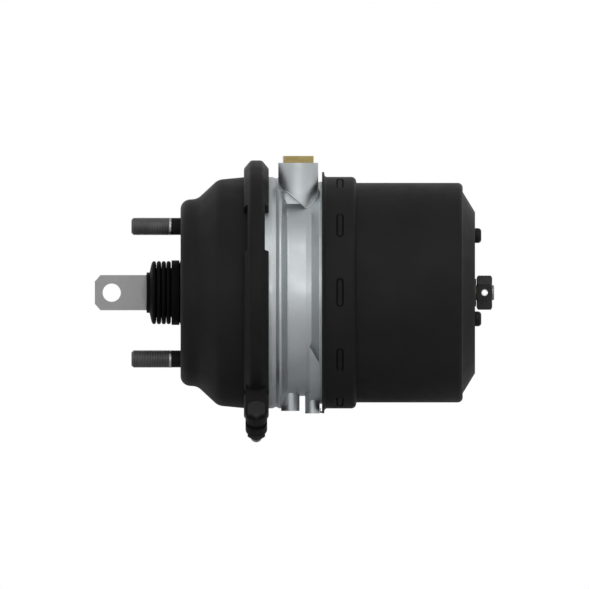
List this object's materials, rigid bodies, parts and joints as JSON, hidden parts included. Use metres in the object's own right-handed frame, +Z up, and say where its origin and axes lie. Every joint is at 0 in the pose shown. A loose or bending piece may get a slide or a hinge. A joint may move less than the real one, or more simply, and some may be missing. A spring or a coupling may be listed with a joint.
{
  "type": "spring brake actuator",
  "caption": "Combined service and spring brake chamber: a push rod with an eye and a bellows, a clamped diaphragm chamber, a cast port body and a spring chamber with a release screw.",
  "frame": {"origin": "centre of the mounting face, on the axis of the actuator, midway between the mounting studs", "axes": "+X along the axis from the push rod to the release screw, +Z up along the air ports, +Y completes a right-handed frame, away from the camera of the picture"},
  "size_m": [0.3636, 0.241, 0.2616],
  "materials": {
    "black_paint": "satin",
    "black_steel": "satin",
    "black_rubber": "matte",
    "black_plastic": "matte",
    "pale_plastic": "matte",
    "cast_aluminium": "satin",
    "grey_steel": "satin",
    "zinc": "satin",
    "chromed_steel": "polished",
    "spring_steel": "satin",
    "brass": "satin"
  },
  "bodies": {
    "housing": {"service_housing": "black_paint", "stud_backing_plate": "zinc", "mounting_studs": "zinc", "boot": "black_rubber", "clamp_band": "black_paint", "clamp_bolt": "black_steel", "clamp_nut": "black_steel", "service_diaphragm": "black_rubber", "return_spring": "spring_steel", "centre_body": "cast_aluminium", "port_adapters": "brass", "spring_housing": "black_paint", "housing_seal": "black_rubber", "lock_tab": "black_paint", "vent_plugs": "black_plastic", "thrust_washer": "brass", "end_bush": "brass", "spring_seat": "zinc", "power_spring": "spring_steel", "tube_guide_bush": "pale_plastic", "tube_seals": "black_rubber"},
    "push_rod": {"push_rod_eye": "grey_steel", "push_rod": "zinc", "push_plate": "zinc"},
    "spring_piston": {"spring_piston": "cast_aluminium", "piston_seal": "black_rubber", "piston_guide_ring": "pale_plastic", "piston_tube": "chromed_steel", "tube_end_cap": "pale_plastic"},
    "release_screw": {"release_screw": "zinc", "release_hex": "black_steel", "release_pin": "zinc"},
    "release_nut": {"release_nut": "brass"}
  },
  "joints": [
    {"name": "push_rod_slide", "type": "slide", "parent": "housing", "child": "push_rod", "axis": [-1, 0, 0], "range_m": [0, 0.064], "stiffness_N_per_m": 1500, "springref_m": -0.02, "deforming": ["return_spring", "boot", "service_diaphragm"]},
    {"name": "spring_piston_slide", "type": "slide", "parent": "housing", "child": "spring_piston", "axis": [-1, 0, 0], "range_m": [0, 0.064], "deforming": ["power_spring"]},
    {"name": "release_screw_turn", "type": "hinge", "parent": "housing", "child": "release_screw", "pos_m": [0, 0, 0], "axis": [1, 0, 0], "range_deg": [0, 5760]},
    {"name": "release_nut_slide", "type": "slide", "parent": "housing", "child": "release_nut", "axis": [1, 0, 0], "range_m": [0, 0.064]}
  ],
  "couplings": [
    {"joint": "release_screw_turn", "follows": "release_nut_slide", "rad_per_m": 1570.8},
    {"joint": "push_rod_slide", "follows": "spring_piston_slide", "ratio": 1}
  ]
}
